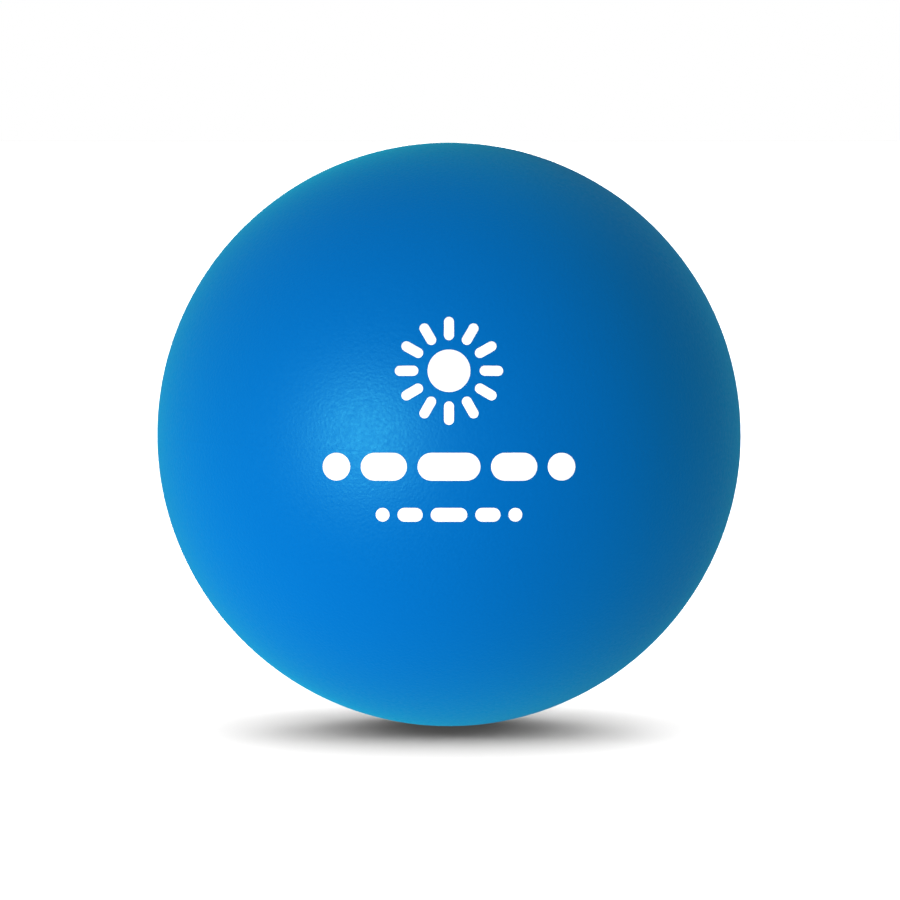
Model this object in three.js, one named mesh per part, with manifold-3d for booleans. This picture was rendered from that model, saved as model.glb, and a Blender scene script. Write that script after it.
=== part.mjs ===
// A squeezable stress ball: a moulded polyurethane foam ball with its own dense skin, a two-piece
// film of blue colour coat, and a white pad print. Millimetres, +Z up. The origin is the centre of
// the small flat that the ball rests on, and the print faces -Y.
import * as THREE from 'three';
import { mergeVertices } from 'three/addons/utils/BufferGeometryUtils.js';
import Module from 'manifold-3d';

// The ball and its layers
const ballDiameter = 70;
const restFlatDiameter = 9; // the flat that the trimmed gate leaves at the bottom
const coatThickness = 0.2;
const skinThickness = 1.3;
const layerGap = 0.1; // between any layer and the next
const partingGap = 0.2; // between the two halves of the colour coat
const gateDiameter = 6; // bare foam in the middle of the rest flat
const gateGap = 0.15; // between the gate stub and the hole round it

// The print, measured in the plane of the printing pad, whose axis rises padTilt above level
const inkThickness = 0.15;
const padTilt = 3; // degrees
const emblemRadius = 6.2;
const emblemDiscRadius = 2.45;
const emblemRayCount = 12;
const emblemRayWidth = 1.15;
const emblemRayGap = 1.05; // from the disc to the inner end of a ray
const emblemAboveParting = 2.9;
const headlineHeight = 3.2;
const headlineBarLengths = [5.3, 7.2, 5.3]; // between a dot at each end
const headlineGap = 1.2;
const headlineBelowParting = 0.27;
const smallRowHeight = 1.6;
const smallRowBarLengths = [2.9, 4.2, 2.9]; // the same
const smallRowGap = 0.9;
const rowSpacing = 3.1; // from the headline row down to the small row

// How finely the round surfaces are faceted
const sidesRound = 52;
const outerRows = 13; // from the parting line to a pole
const innerRows = 8;
const inkSidesRound = 72;
const barEndSteps = 4;
const discSides = 30;

const ballRadius = ballDiameter / 2;
const restFlatRadius = restFlatDiameter / 2;
const ballCentre = Math.sqrt(ballRadius ** 2 - restFlatRadius ** 2);
const skinRadius = ballRadius - coatThickness - layerGap;
const skinFloor = coatThickness + layerGap; // height of the skin's own flat over the rest flat
const hollowRadius = skinRadius - skinThickness;
const coreRadius = hollowRadius - layerGap;
const gateRadius = gateDiameter / 2;
const gateHoleRadius = gateRadius + gateGap;
const inkInnerRadius = ballRadius + layerGap;
const inkOuterRadius = inkInnerRadius + inkThickness;
const tilt = THREE.MathUtils.degToRad(padTilt);

const wasm = await Module();
wasm.setup();

// A point of a ball's outline, as the lathe wants it: distance from the axis, then height.
function onBall(radius, rise) {
  return new THREE.Vector2(radius * Math.cos(rise), ballCentre + radius * Math.sin(rise));
}

// The outline of a ball of this radius, between two angles above its centre.
function ballArc(radius, from, to, rows) {
  return Array.from({ length: rows + 1 }, (_, i) => onBall(radius, from + ((to - from) * i) / rows));
}

// The angle above the centre at which a ball of this radius has a given height, or a given
// distance from the axis on its lower half.
const riseAtHeight = (radius, height) => Math.asin((height - ballCentre) / radius);
const riseAtReach = (radius, reach) => -Math.acos(reach / radius);

// A body turned from an outline that runs up its outer side and back down its inner side.
function turned(outline) {
  for (const point of outline) if (Math.abs(point.x) < 1e-6) point.x = 0;
  const geometry = new THREE.LatheGeometry(outline, sidesRound);
  geometry.rotateX(Math.PI / 2);
  return welded(geometry);
}

// The same surface with only positions, its shared corners merged.
function welded(geometry) {
  geometry.deleteAttribute('normal');
  geometry.deleteAttribute('uv');
  return mergeVertices(geometry, 1e-3);
}

function toSolid(geometry) {
  const merged = welded(geometry);
  const vertProperties = new Float32Array(merged.attributes.position.array);
  const triVerts = new Uint32Array(merged.index.array);
  return new wasm.Manifold(new wasm.Mesh({ numProp: 3, vertProperties, triVerts }));
}

function toGeometry(solid) {
  const { vertProperties, triVerts } = solid.getMesh();
  const geometry = new THREE.BufferGeometry();
  geometry.setAttribute('position', new THREE.BufferAttribute(vertProperties, 3));
  geometry.setIndex(new THREE.BufferAttribute(triVerts, 1));
  return geometry;
}

function rawFoam() {
  return new THREE.MeshStandardMaterial({ color: 0xe9dfc4, roughness: 0.95, metalness: 0 });
}

function foamSkin() {
  return new THREE.MeshStandardMaterial({ color: 0xdccfae, roughness: 0.7, metalness: 0 });
}

function blueCoat() {
  return new THREE.MeshStandardMaterial({ color: 0x0678cc, roughness: 0.5, metalness: 0 });
}

function whiteInk() {
  return new THREE.MeshStandardMaterial({ color: 0xf7f9fb, roughness: 0.45, metalness: 0 });
}

function named(name, geometry, material) {
  geometry.computeVertexNormals();
  const mesh = new THREE.Mesh(geometry, material);
  mesh.name = name;
  return mesh;
}

// The poured foam: a ball with the gate stub standing through the layers to the rest flat.
function foamCore() {
  const stubTop = riseAtReach(coreRadius, gateRadius);
  return turned([
    new THREE.Vector2(0, 0),
    new THREE.Vector2(gateRadius, 0),
    ...ballArc(coreRadius, stubTop, Math.PI / 2, 2 * innerRows),
  ]);
}

// The foam's dense skin: one closed shell but for the gate hole, with a flat of its own.
function integralSkin() {
  const flatEdge = riseAtHeight(skinRadius, skinFloor);
  const holeTop = riseAtReach(hollowRadius, gateHoleRadius);
  return turned([
    new THREE.Vector2(gateHoleRadius, skinFloor),
    ...ballArc(skinRadius, flatEdge, 0, outerRows),
    ...ballArc(skinRadius, 0, Math.PI / 2, outerRows).slice(1),
    ...ballArc(hollowRadius, Math.PI / 2, holeTop, 2 * innerRows),
    new THREE.Vector2(gateHoleRadius, skinFloor),
  ]);
}

// The coat from the upper mould cup: a plain dome of film that ends at the parting line.
function upperCoat() {
  const innerRadius = ballRadius - coatThickness;
  const edge = ballCentre + partingGap / 2;
  return turned([
    ...ballArc(ballRadius, riseAtHeight(ballRadius, edge), Math.PI / 2, outerRows),
    ...ballArc(innerRadius, Math.PI / 2, riseAtHeight(innerRadius, edge), outerRows),
    onBall(ballRadius, riseAtHeight(ballRadius, edge)),
  ]);
}

// The coat from the lower mould cup: a cup of film with the rest flat and the gate hole in it.
function lowerCoat() {
  const innerRadius = ballRadius - coatThickness;
  const edge = ballCentre - partingGap / 2;
  return turned([
    new THREE.Vector2(gateHoleRadius, 0),
    ...ballArc(ballRadius, riseAtHeight(ballRadius, 0), riseAtHeight(ballRadius, edge), outerRows),
    ...ballArc(
      innerRadius,
      riseAtHeight(innerRadius, edge),
      riseAtHeight(innerRadius, coatThickness),
      outerRows,
    ),
    new THREE.Vector2(gateHoleRadius, coatThickness),
    new THREE.Vector2(gateHoleRadius, 0),
  ]);
}

// The thin ball-shaped shell that all the ink lies in.
function inkShell() {
  const ball = (radius) => {
    const geometry = new THREE.SphereGeometry(radius, inkSidesRound, inkSidesRound / 2);
    geometry.rotateX(Math.PI / 2);
    geometry.translate(0, 0, ballCentre);
    return toSolid(geometry);
  };
  return ball(inkOuterRadius).subtract(ball(inkInnerRadius));
}

const inkLayer = inkShell();

// One island of ink: its outline in the pad's plane, pressed onto the front of the ball.
function inkIsland(name, outline) {
  const geometry = new THREE.ExtrudeGeometry(outline, {
    depth: inkOuterRadius,
    bevelEnabled: false,
    curveSegments: barEndSteps,
  });
  geometry.rotateX(Math.PI / 2 - tilt);
  geometry.translate(0, 0, ballCentre);
  return named(name, toGeometry(toSolid(geometry).intersect(inkLayer)), whiteInk());
}

// A bar with round ends, its centre at (x, y), turned by an angle.
function barOutline(x, y, length, width, angle = 0) {
  const half = (length - width) / 2;
  const end = (side) => [x + side * half * Math.cos(angle), y + side * half * Math.sin(angle)];
  const outline = new THREE.Shape();
  outline.absarc(...end(1), width / 2, angle - Math.PI / 2, angle + Math.PI / 2);
  outline.absarc(...end(-1), width / 2, angle + Math.PI / 2, angle + (3 * Math.PI) / 2);
  return outline;
}

function discOutline(x, y, radius) {
  const corner = (_, i) => {
    const angle = (2 * Math.PI * i) / discSides;
    return new THREE.Vector2(x + radius * Math.cos(angle), y + radius * Math.sin(angle));
  };
  return new THREE.Shape(Array.from({ length: discSides }, corner));
}

// Where the parting line crosses the middle of the print, in the pad's plane.
const partingInPad = -ballRadius * Math.sin(tilt);

// A plain sun: a disc with rays all round it.
function emblem() {
  const centre = partingInPad + emblemAboveParting + emblemRadius;
  const rayStart = emblemDiscRadius + emblemRayGap;
  const rayLength = emblemRadius - rayStart;
  const rayMiddle = rayStart + rayLength / 2;
  const islands = [inkIsland('emblem_disc', discOutline(0, centre, emblemDiscRadius))];
  for (let i = 0; i < emblemRayCount; i++) {
    const angle = (2 * Math.PI * i) / emblemRayCount;
    const x = rayMiddle * Math.cos(angle);
    const y = centre + rayMiddle * Math.sin(angle);
    const outline = barOutline(x, y, rayLength, emblemRayWidth, angle);
    islands.push(inkIsland(`emblem_ray_${i + 1}`, outline));
  }
  return islands;
}

// A row of bars between two dots as high as the bars, centred across the print, with its top edge
// at a given height.
function barRow(prefix, top, height, barLengths, gap) {
  const lengths = [height, ...barLengths, height];
  const whole = lengths.reduce((sum, length) => sum + length, 0) + gap * (lengths.length - 1);
  let left = -whole / 2;
  return lengths.map((length, i) => {
    const outline = barOutline(left + length / 2, top - height / 2, length, height);
    left += length + gap;
    return inkIsland(`${prefix}_${i + 1}`, outline);
  });
}

const headlineTop = partingInPad - headlineBelowParting;
const smallRowTop = headlineTop - headlineHeight - rowSpacing;

const stressBall = new THREE.Group();
stressBall.add(
  named('foam_core', foamCore(), rawFoam()),
  named('foam_skin', integralSkin(), foamSkin()),
  named('colour_coat_upper', upperCoat(), blueCoat()),
  named('colour_coat_lower', lowerCoat(), blueCoat()),
  ...emblem(),
  ...barRow('headline_bar', headlineTop, headlineHeight, headlineBarLengths, headlineGap),
  ...barRow('small_row_bar', smallRowTop, smallRowHeight, smallRowBarLengths, smallRowGap),
);

export default stressBall;
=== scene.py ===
import math

import bmesh
import bpy
import numpy as np
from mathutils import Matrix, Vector, noise


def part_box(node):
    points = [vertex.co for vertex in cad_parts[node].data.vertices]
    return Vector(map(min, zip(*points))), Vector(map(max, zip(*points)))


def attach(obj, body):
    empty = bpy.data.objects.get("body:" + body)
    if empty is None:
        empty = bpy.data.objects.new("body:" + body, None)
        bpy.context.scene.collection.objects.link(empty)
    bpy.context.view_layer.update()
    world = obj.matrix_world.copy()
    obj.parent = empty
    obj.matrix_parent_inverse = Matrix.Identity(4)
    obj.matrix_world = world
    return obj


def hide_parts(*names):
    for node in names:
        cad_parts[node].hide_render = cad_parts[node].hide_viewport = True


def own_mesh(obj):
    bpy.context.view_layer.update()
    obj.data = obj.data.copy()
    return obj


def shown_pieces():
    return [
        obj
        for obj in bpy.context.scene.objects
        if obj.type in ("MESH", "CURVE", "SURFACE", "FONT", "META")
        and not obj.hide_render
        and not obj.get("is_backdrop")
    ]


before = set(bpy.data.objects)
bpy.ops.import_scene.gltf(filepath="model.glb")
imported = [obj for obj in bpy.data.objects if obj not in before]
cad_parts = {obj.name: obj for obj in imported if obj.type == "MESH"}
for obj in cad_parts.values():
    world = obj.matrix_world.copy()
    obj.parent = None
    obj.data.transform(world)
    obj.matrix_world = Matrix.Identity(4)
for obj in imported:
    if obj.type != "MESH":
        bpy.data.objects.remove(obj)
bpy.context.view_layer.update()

# ---- Foam core ----------------------------------------------------------------------------------
# The core is flexible polyurethane foam, poured into the mould through a gate at its bottom. The
# gate stub is cut off flush once the ball is out, so its end is a small disc of open foam cells
# in the middle of the flat that the ball stands on.

coat_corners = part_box("colour_coat_upper")
ball_radius = (coat_corners[1].x - coat_corners[0].x) / 2
ball_height = coat_corners[1].z
ball_middle = ball_height - ball_radius  # how high its centre is
ball_centre = Vector((0, 0, ball_middle))
core_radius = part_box("foam_core")[1].z - ball_middle
core_columns = 192
core_rows = 96
core_lump_height = 0.00003
core_lump_length = 0.0012
gate_radius = 0.0030
stub_rings = [0.0002, 0.0007]  # heights that keep the stub's side straight
cut_rings = 28
cut_cell = 0.00042
cut_depth = 0.00016
pitted_share = 0.98  # of the cut end, within a plain rim
stub_share = 1.05  # what lies within this many gate radii is stub, and stays straight


class Wire:
    """One output of a material's nodes. Arithmetic on it adds Math nodes to the same material."""

    def __init__(self, tree, socket=None):
        self.tree = tree
        self.socket = socket

    def node(self, kind, settings=None, inputs=None, output=0):
        """A new node with these settings, then these values or wires on its inputs."""
        made = self.tree.nodes.new(kind)
        for name, value in (settings or {}).items():
            if name == "stops":
                ramp = made.color_ramp.elements
                while len(ramp) < len(value):
                    ramp.new(0.5)
                for stop, (place, shade) in zip(ramp, value):
                    stop.position = place
                    stop.color = (*shade, 1.0)
            else:
                setattr(made, name, value)
        for name, value in (inputs or {}).items():
            if isinstance(value, Wire):
                self.tree.links.new(value.socket, made.inputs[name])
            else:
                made.inputs[name].default_value = value
        return Wire(self.tree, made.outputs[output] if made.outputs else None)

    def math(self, operation, first, second):
        return self.node("ShaderNodeMath", {"operation": operation}, {0: first, 1: second})

    def __add__(self, other):
        return self.math("ADD", self, other)

    def __radd__(self, other):
        return self.math("ADD", other, self)

    def __mul__(self, other):
        return self.math("MULTIPLY", self, other)

    def __rmul__(self, other):
        return self.math("MULTIPLY", other, self)


def new_finish(name):
    """A material, and a wire on its empty tree to start nodes from."""
    material = bpy.data.materials.new(name)
    material.use_nodes = True
    material.node_tree.nodes.clear()
    return material, Wire(material.node_tree)


def turned(name, outline, columns):
    """A closed body turned round the upright axis from (reach, height) points.

    The outline starts and ends on the axis, or it closes on itself."""
    turns = np.arange(columns) * 2 * math.pi / columns
    points = []
    rings = []
    for reach, height in outline:
        first = len(points)
        if reach < 1e-9:
            points.append((0.0, 0.0, height))
            rings.append([first] * columns)
        else:
            points += [(reach * math.cos(turn), reach * math.sin(turn), height) for turn in turns]
            rings.append(list(range(first, first + columns)))
    if outline[0][0] > 1e-9:
        rings.append(rings[0])
    faces = []
    for low, high in zip(rings, rings[1:]):
        for i in range(columns):
            j = (i + 1) % columns
            corners = [low[i], low[j], high[j], high[i]]
            faces.append(tuple(dict.fromkeys(corners)))
    mesh = bpy.data.meshes.new(name)
    mesh.from_pydata(points, [], [f for f in faces if len(f) > 2])
    mesh.shade_smooth()
    return mesh


def on_ball(radius, rise):
    """The (reach, height) point of a ball's outline at an angle above its middle."""
    reach = radius * math.cos(rise)
    return 0.0 if reach < 1e-7 else reach, ball_middle + radius * math.sin(rise)


def ball_arc(radius, start, end, rows):
    """(reach, height) points along a ball's outline, between two angles above its middle."""
    return [on_ball(radius, rise) for rise in np.linspace(start, end, rows + 1)]


def into_ball(name, mesh, material, body):
    """The finished piece in its place on its body: it stands for its CAD node."""
    piece = bpy.data.objects.new(name, mesh)
    bpy.context.scene.collection.objects.link(piece)
    mesh.materials.append(material)
    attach(piece, body)
    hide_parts(name)
    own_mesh(piece)
    piece.visible_diffuse = False  # the ball throws no colour onto the floor
    return piece


def raw_foam():
    """Cream foam with open cells: round mouths between thin pale walls, the mouths darkened with
    painted shade.
    """
    material, start = new_finish("poured_foam")
    place = start.node("ShaderNodeTexCoord", output="Object")
    cells = start.node(
        "ShaderNodeTexVoronoi",
        {"feature": "DISTANCE_TO_EDGE"},
        {"Vector": place, "Scale": 1 / cut_cell},
    )
    mouth_depth_and_shade = start.node(
        "ShaderNodeValToRGB",
        {"stops": [(0.0, (0.0, 0.0, 0.0)), (0.22, (1.0, 1.0, 1.0))]},
        {"Fac": cells},
    )
    clouds = start.node(
        "ShaderNodeTexNoise", {}, {"Vector": place, "Scale": 180.0, "Detail": 3.0}
    )
    # the cell mouths take the darker cream: painted shade in the open cells, while the bump sinks
    # them
    colour = start.node(
        "ShaderNodeMix",
        {"data_type": "RGBA"},
        {"Factor": mouth_depth_and_shade, "A": (0.86, 0.79, 0.62, 1), "B": (0.62, 0.53, 0.37, 1)},
        "Result",
    )
    bump = start.node(
        "ShaderNodeBump",
        {"invert": True},
        {"Strength": 0.8, "Distance": 0.0001, "Height": mouth_depth_and_shade},
    )
    shader = start.node(
        "ShaderNodeBsdfPrincipled",
        {},
        {
            "Base Color": colour,
            "Roughness": 0.86 + clouds * 0.12,
            "Specular IOR Level": 0.3,
            "Normal": bump,
        },
    )
    start.node("ShaderNodeOutputMaterial", {}, {"Surface": shader})
    return material


def core_mesh():
    """The core's ball and its stub, whose cut end is pitted like a slice of foam."""
    stub_top = -math.acos(gate_radius / core_radius)
    end = [(gate_radius * share, 0.0) for share in np.linspace(0, 1, cut_rings + 1)]
    side = [(gate_radius, height) for height in stub_rings]
    ball = ball_arc(core_radius, stub_top, math.pi / 2, core_rows)
    mesh = turned("foam_core", [*end, *side, *ball], core_columns)
    for vertex in mesh.vertices:
        reach = math.hypot(vertex.co.x, vertex.co.y)
        if vertex.co.z < 1e-7 and reach < gate_radius * pitted_share:
            pit = noise.cell_vector(vertex.co / cut_cell).x
            soft = 0.5 + 0.5 * noise.noise(vertex.co / cut_cell)
            vertex.co.z += cut_depth * soft * (0.4 + 0.6 * pit)
        elif reach > gate_radius * stub_share:
            outward = vertex.co - ball_centre
            lump = core_lump_height * noise.noise(vertex.co / core_lump_length)
            vertex.co += outward.normalized() * lump
    return mesh


core = into_ball("foam_core", core_mesh(), raw_foam(), "lower_half")

# ---- Foam skin ----------------------------------------------------------------------------------
# Against the cool mould the same foam sets as a dense, closed skin a little over a millimetre
# thick. It holds the colour coat, and it is open only where the gate stub passes through it.

skin_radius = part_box("foam_skin")[1].z - ball_middle
skin_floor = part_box("foam_skin")[0].z
skin_thickness = 0.0013
gate_gap = 0.00015
gate_hole = gate_radius + gate_gap
skin_columns = 192
skin_outer_rows = 120
skin_inner_rows = 96


def foam_skin():
    """Dense foam: close-set tiny bubbles under a smooth cream surface."""
    material, start = new_finish("dense_foam")
    place = start.node("ShaderNodeTexCoord", output="Object")
    bubbles = start.node(
        "ShaderNodeTexVoronoi", {}, {"Vector": place, "Scale": 4200.0}
    )
    clouds = start.node(
        "ShaderNodeTexNoise", {}, {"Vector": place, "Scale": 240.0, "Detail": 4.0}
    )
    colour = start.node(
        "ShaderNodeMix",
        {"data_type": "RGBA"},
        {"Factor": clouds, "A": (0.74, 0.64, 0.45, 1), "B": (0.82, 0.74, 0.56, 1)},
        "Result",
    )
    bump = start.node(
        "ShaderNodeBump", {}, {"Strength": 0.35, "Distance": 0.00004, "Height": bubbles}
    )
    shader = start.node(
        "ShaderNodeBsdfPrincipled",
        {},
        {
            "Base Color": colour,
            "Roughness": 0.62 + clouds * 0.14,
            "Specular IOR Level": 0.35,
            "Normal": bump,
        },
    )
    start.node("ShaderNodeOutputMaterial", {}, {"Surface": shader})
    return material


def skin_mesh():
    """The skin's closed shell, with its own flat and the hole that the gate stub fills."""
    inner = skin_radius - skin_thickness
    flat_edge = math.asin((skin_floor - ball_middle) / skin_radius)
    hole_top = -math.acos(gate_hole / inner)
    return turned(
        "foam_skin",
        [
            (gate_hole, skin_floor),
            *ball_arc(skin_radius, flat_edge, math.pi / 2, skin_outer_rows),
            *ball_arc(inner, math.pi / 2, hole_top, skin_inner_rows),
        ],
        skin_columns,
    )


skin = into_ball("foam_skin", skin_mesh(), foam_skin(), "lower_half")

# ---- Colour coat --------------------------------------------------------------------------------
# A soft-touch blue coat is sprayed into both mould cups before the foam is poured, so the ball
# comes out wearing two films that meet at the parting line. The line is wiped and hardly shows;
# the films have the mould's fine satin grain, and stop at a trimmed edge round the gate.

coat_thickness = 0.0002
parting_ridge = 0.000008
parting_reach = 0.00012
parting_steps = [0, 0.00004, 0.00008, 0.00014, 0.00022]  # heights that follow the ridge
parting_end = 0.00034
gate_rim = 0.0004  # width of the ring of faces round the gate hole
waves_above = 0.0006  # the waves start at this height, so that the rest flat stays true
wave_height = 0.00002
wave_length = 0.011
coat_columns = 360
coat_rows = 110


def satin_blue():
    """Blue flexible coat, a little uneven in tone and gloss, with a fine moulded grain."""
    material, start = new_finish("satin_coat")
    place = start.node("ShaderNodeTexCoord", output="Object")
    clouds = start.node(
        "ShaderNodeTexNoise", {}, {"Vector": place, "Scale": 130.0, "Detail": 3.0}
    )
    mottle = start.node(
        "ShaderNodeTexNoise", {}, {"Vector": place, "Scale": 2200.0, "Detail": 2.0}
    )
    grain = start.node(
        "ShaderNodeTexNoise",
        {},
        {"Vector": place, "Scale": 2900.0, "Detail": 2.0, "Roughness": 0.5},
    )
    colour = start.node(
        "ShaderNodeMix",
        {"data_type": "RGBA"},
        {
            "Factor": clouds * 0.6 + mottle * 0.4,
            "A": (0.0, 0.168, 0.606, 1),
            "B": (0.0, 0.172, 0.620, 1),
        },
        "Result",
    )
    bump = start.node(
        "ShaderNodeBump", {}, {"Strength": 1.0, "Distance": 0.000036, "Height": grain}
    )
    shader = start.node(
        "ShaderNodeBsdfPrincipled",
        {},
        {
            "Base Color": colour,
            "Roughness": 0.26 + mottle * 0.32,
            "Specular IOR Level": 0.6,
            "Specular Tint": (0.12, 1.0, 1.0, 1),
            "Sheen Weight": 0.38,
            "Sheen Roughness": 0.5,
            "Sheen Tint": (0.0, 0.92, 1.0, 1),
            "Normal": bump,
        },
    )
    start.node("ShaderNodeOutputMaterial", {}, {"Surface": shader})
    return material


def coat_rise(spot):
    """How far the coat's outer face stands off a true ball at this spot, in metres."""
    height = abs(spot.z - ball_middle)
    ridge = parting_ridge * math.exp(-((height / parting_reach) ** 2))
    return wave_height * noise.noise(spot / wave_length) + ridge


def coat_mesh(name, side):
    """The film of one mould cup. side is 1 for the upper cup and -1 for the lower one."""
    inner = ball_radius - coat_thickness
    lip = [on_ball(ball_radius, side * math.asin(step / ball_radius)) for step in parting_steps]
    lip_end = side * math.asin(parting_end / ball_radius)
    if side > 0:
        outline = [
            *lip,
            *ball_arc(ball_radius, lip_end, math.pi / 2, coat_rows),
            *ball_arc(inner, math.pi / 2, 0, coat_rows),
        ]
    else:
        flat_edge = -math.asin(ball_middle / ball_radius)
        inner_flat = math.asin((coat_thickness - ball_middle) / inner)
        outline = [
            (gate_hole, 0.0),
            (gate_hole + gate_rim, 0.0),
            *ball_arc(ball_radius, flat_edge, lip_end, coat_rows),
            *reversed(lip),
            *ball_arc(inner, 0, inner_flat, coat_rows),
            (gate_hole, coat_thickness),
        ]
    mesh = turned(name, outline, coat_columns)
    for vertex in mesh.vertices:
        outward = vertex.co - ball_centre
        on_outside = outward.length > ball_radius - coat_thickness / 2
        if on_outside and vertex.co.z > waves_above:
            vertex.co += outward.normalized() * coat_rise(vertex.co)
    mesh.set_sharp_from_angle(angle=math.radians(50))
    return mesh


blue = satin_blue()
for half, side in (("upper", 1), ("lower", -1)):
    name = f"colour_coat_{half}"
    into_ball(name, coat_mesh(name, side), blue, f"{half}_half")

# ---- White print --------------------------------------------------------------------------------
# A soft pad presses white ink onto the front of the ball in one stroke: a plain sun above the
# parting line, and two rows of bars and dots below it. Each island is a thin film of its own that
# follows the ball, with a rounded lip at its edge.

pad_tilt = math.radians(3)
ink_thickness = 0.00004
ink_sink = 0.000006
ink_lip = 0.00005
ink_step = 0.00028
ink_end_steps = 12  # at least this many round half a disc, however small


def white_ink():
    """Opaque white ink: nearly smooth, a little uneven in its cover, with a faint grain."""
    material, start = new_finish("pad_ink")
    place = start.node("ShaderNodeTexCoord", output="Object")
    grain = start.node(
        "ShaderNodeTexNoise", {}, {"Vector": place, "Scale": 3800.0, "Detail": 3.0}
    )
    cover = start.node(
        "ShaderNodeTexNoise", {}, {"Vector": place, "Scale": 900.0, "Detail": 2.0}
    )
    colour = start.node(
        "ShaderNodeMix",
        {"data_type": "RGBA"},
        {"Factor": cover, "A": (0.89, 0.915, 0.94, 1), "B": (0.94, 0.95, 0.96, 1)},
        "Result",
    )
    bump = start.node(
        "ShaderNodeBump", {}, {"Strength": 0.2, "Distance": 0.00001, "Height": grain}
    )
    shader = start.node(
        "ShaderNodeBsdfPrincipled",
        {},
        {
            "Base Color": colour,
            "Roughness": 0.40 + cover * 0.1,
            "Specular IOR Level": 0.4,
            "Normal": bump,
        },
    )
    start.node("ShaderNodeOutputMaterial", {}, {"Surface": shader})
    return material


def on_pad(node):
    """A CAD node's points as the pad sees them: across and up, from the pad's axis."""
    points = np.array([v.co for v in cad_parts[node].data.vertices])
    points[:, 2] -= ball_middle
    up = points[:, 2] * math.cos(pad_tilt) + points[:, 1] * math.sin(pad_tilt)
    return np.column_stack([points[:, 0], up])


def onto_ball(across, up, height):
    """Where a point of the pad's plane lands on the ball, this far above the coat."""
    def at(radius):
        forward = -math.sqrt(radius**2 - across**2 - up**2)
        y = forward * math.cos(pad_tilt) + up * math.sin(pad_tilt)
        z = up * math.cos(pad_tilt) - forward * math.sin(pad_tilt)
        return Vector((across, y, ball_middle + z))

    return at(ball_radius + coat_rise(at(ball_radius)) + height)


def ink_island(name, along, body, ink):
    """One island: a disc, or a bar with round ends that lies along a direction on the pad."""
    along = np.array(along)
    aside = np.array([-along[1], along[0]])
    points = on_pad(name)
    reach, spread = points @ along, points @ aside
    length, width = np.ptp(reach), np.ptp(spread)
    middle = along * (reach.max() + reach.min()) / 2 + aside * (spread.max() + spread.min()) / 2
    straight = max(length - width, 0) / 2
    half = width / 2

    spine = []
    edge = []
    end_steps = max(ink_end_steps, round(math.pi * half / ink_step))
    side_steps = max(1, round(2 * straight / ink_step))
    for side in (1, -1):
        for turn in np.linspace(-math.pi / 2, math.pi / 2, end_steps + 1):
            centre = middle + side * straight * along
            spine.append(centre)
            edge.append(centre + side * half * (math.cos(turn) * along + math.sin(turn) * aside))
        for share in np.linspace(1, -1, side_steps + 1)[1:-1]:
            centre = middle + side * share * straight * along
            spine.append(centre)
            edge.append(centre + side * half * aside)
    spine, edge = np.array(spine), np.array(edge)

    # From the middle of the underside, out round the lip, and back to the middle of the top.
    lip = ink_lip / half
    rings = [(share, -ink_sink) for share in (0.0, 0.5, 1 - lip, 1.0)]
    rings += [(1.0, 0.3 * ink_thickness), (1 - 0.3 * lip, 0.8 * ink_thickness)]
    rings += [(share, ink_thickness) for share in (1 - lip, 0.75, 0.5, 0.25, 0.0)]
    corners = []
    for share, height in rings:
        for across, up in spine + (edge - spine) * share:
            corners.append(onto_ball(across, up, height))
    count = len(edge)
    faces = []
    for ring in range(len(rings) - 1):
        low, high = ring * count, (ring + 1) * count
        for i in range(count):
            j = (i + 1) % count
            faces.append((low + i, low + j, high + j, high + i))
    mesh = bpy.data.meshes.new(name)
    mesh.from_pydata(corners, [], faces)
    shape = bmesh.new()
    shape.from_mesh(mesh)
    bmesh.ops.remove_doubles(shape, verts=shape.verts, dist=1e-8)
    bmesh.ops.recalc_face_normals(shape, faces=shape.faces)
    shape.to_mesh(mesh)
    shape.free()
    mesh.shade_smooth()
    mesh.set_sharp_from_angle(angle=math.radians(60))
    into_ball(name, mesh, ink, body)


ink = white_ink()
sun_middle = on_pad("emblem_disc").mean(axis=0)
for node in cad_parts:
    if node == "emblem_disc":
        ink_island(node, (1.0, 0.0), "upper_half", ink)
    elif node.startswith("emblem_ray"):
        spots = on_pad(node)
        ray = (spots.max(axis=0) + spots.min(axis=0)) / 2 - sun_middle
        ink_island(node, ray / np.linalg.norm(ray), "upper_half", ink)
    elif "_bar_" in node:
        ink_island(node, (1.0, 0.0), "lower_half", ink)

# ---- Studio -------------------------------------------------------------------------------------
# The ball stands on a plain pale floor in a white room. Soft lamps all round light only the ball,
# two broad suns light only the floor, so that its shadow is a plain grey, and one more soft lamp
# keeps the white print evenly bright.

floor_width = 60.0
floor_shade = 0.6
lamp_distance = 0.6
room_light = 0.1  # what the white room adds to the ball; the camera sees it at full strength


def pale_floor():
    """Flat and matt: a light grey that the suns bring up to white all round the ball."""
    material, start = new_finish("pale_floor")
    shader = start.node(
        "ShaderNodeBsdfDiffuse", {}, {"Color": (floor_shade, floor_shade, floor_shade, 1)}
    )
    start.node("ShaderNodeOutputMaterial", {}, {"Surface": shader})
    return material


bpy.ops.mesh.primitive_plane_add(size=floor_width, location=(0, 0, 0))
floor = bpy.context.object
floor.name = "floor"
floor.data.materials.append(pale_floor())
floor.visible_diffuse = False
floor.visible_glossy = False
floor.visible_shadow = False
floor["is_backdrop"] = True

ball_only = bpy.data.collections.new("lit_ball")
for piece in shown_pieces():
    ball_only.objects.link(piece)
print_only = bpy.data.collections.new("lit_print")
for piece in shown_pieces():
    if ink in piece.data.materials[:]:
        print_only.objects.link(piece)
floor_only = bpy.data.collections.new("lit_floor")
floor_only.objects.link(floor)


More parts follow.
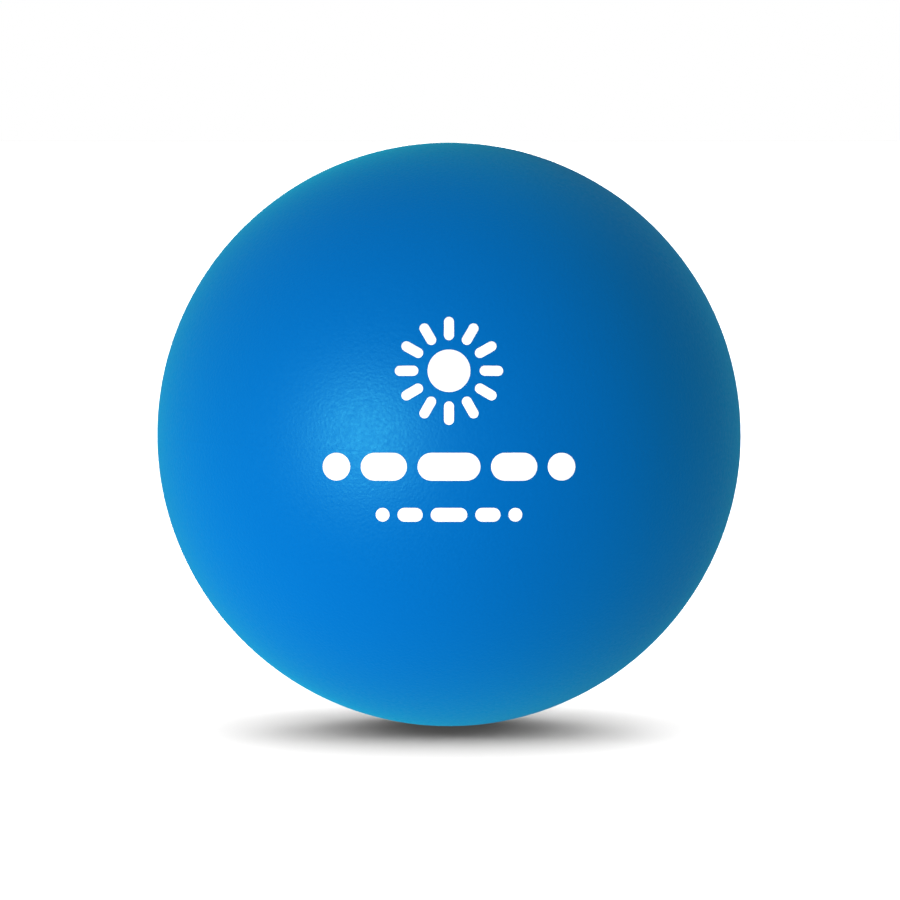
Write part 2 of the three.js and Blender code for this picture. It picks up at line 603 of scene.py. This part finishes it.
def soft_box(name, azimuth, elevation, power, size=0.4, shines=False, lights=ball_only):
    """A square lamp round the ball. Azimuth 0 is in front of the print and 90 on its right."""
    lamp = bpy.data.lights.new(name, "AREA")
    lamp.size = size
    lamp.energy = power
    box = bpy.data.objects.new(name, lamp)
    turn, rise = math.radians(azimuth), math.radians(elevation)
    ahead = math.cos(rise)
    away = Vector((math.sin(turn) * ahead, -math.cos(turn) * ahead, math.sin(rise)))
    box.location = ball_centre + away * lamp_distance
    box.rotation_mode = "QUATERNION"
    box.rotation_quaternion = away.to_track_quat("Z", "Y")
    box.visible_glossy = shines
    lamp.cycles.use_multiple_importance_sampling = shines
    box.light_linking.receiver_collection = lights
    bpy.context.scene.collection.objects.link(box)


soft_box("key_box", -32, 2, 2.6, size=0.3, shines=True)
soft_box("left_box", -120, 0, 1.35)
soft_box("low_left_box", -120, -50, 1.6)
soft_box("low_box", 0, -50, 1.3)
soft_box("top_box", 0, 75, 0.78)
soft_box("right_box", 90, 25, 0.4)
soft_box("low_right_box", 120, -25, 0.95)
soft_box("back_box", 150, 25, 0.6)
soft_box("print_box", 30, 0, 2.0, lights=print_only)


def floor_sun(name, lean, spread, energy):
    """Soft light on the floor alone, from above and leaning to the back of the studio."""
    lamp = bpy.data.lights.new(name, "SUN")
    lamp.angle = math.radians(spread)
    lamp.energy = energy
    lamp.cycles.use_multiple_importance_sampling = False
    sun = bpy.data.objects.new(name, lamp)
    sun.rotation_euler = (math.radians(-lean), 0, 0)
    sun.light_linking.receiver_collection = floor_only
    bpy.context.scene.collection.objects.link(sun)


floor_sun("overhead", 40, 160, 9.4)
floor_sun("back_wash", 80, 40, 7.4)

world = bpy.data.worlds.new("studio")
bpy.context.scene.world = world
world.use_nodes = True
world.node_tree.nodes.clear()
air = Wire(world.node_tree)
seen = air.node("ShaderNodeLightPath", output="Is Camera Ray")
strength = room_light + seen * (1 - room_light)
glow = air.node("ShaderNodeBackground", {}, {"Color": (1, 1, 1, 1), "Strength": strength})
air.node("ShaderNodeOutputWorld", {}, {"Surface": glow})

camera_distance = 0.700
camera_elevation = math.radians(3)
sees_half = 1.5421  # half the picture's width over the ball's radius in it
camera = bpy.data.objects.new("camera", bpy.data.cameras.new("camera"))
bpy.context.scene.collection.objects.link(camera)
back = Vector((0, -math.cos(camera_elevation), math.sin(camera_elevation)))
camera.location = ball_centre + back * camera_distance
camera.rotation_mode = "QUATERNION"
camera.rotation_quaternion = back.to_track_quat("Z", "Y")
outline_slope = ball_radius / math.sqrt(camera_distance**2 - ball_radius**2)
camera.data.sensor_width = 36.0
camera.data.lens = camera.data.sensor_width / 2 / (sees_half * outline_slope)
camera.data.shift_x = 0.0011
camera.data.shift_y = -0.0174
bpy.context.scene.camera = camera
bpy.context.scene.view_settings.view_transform = "Standard"
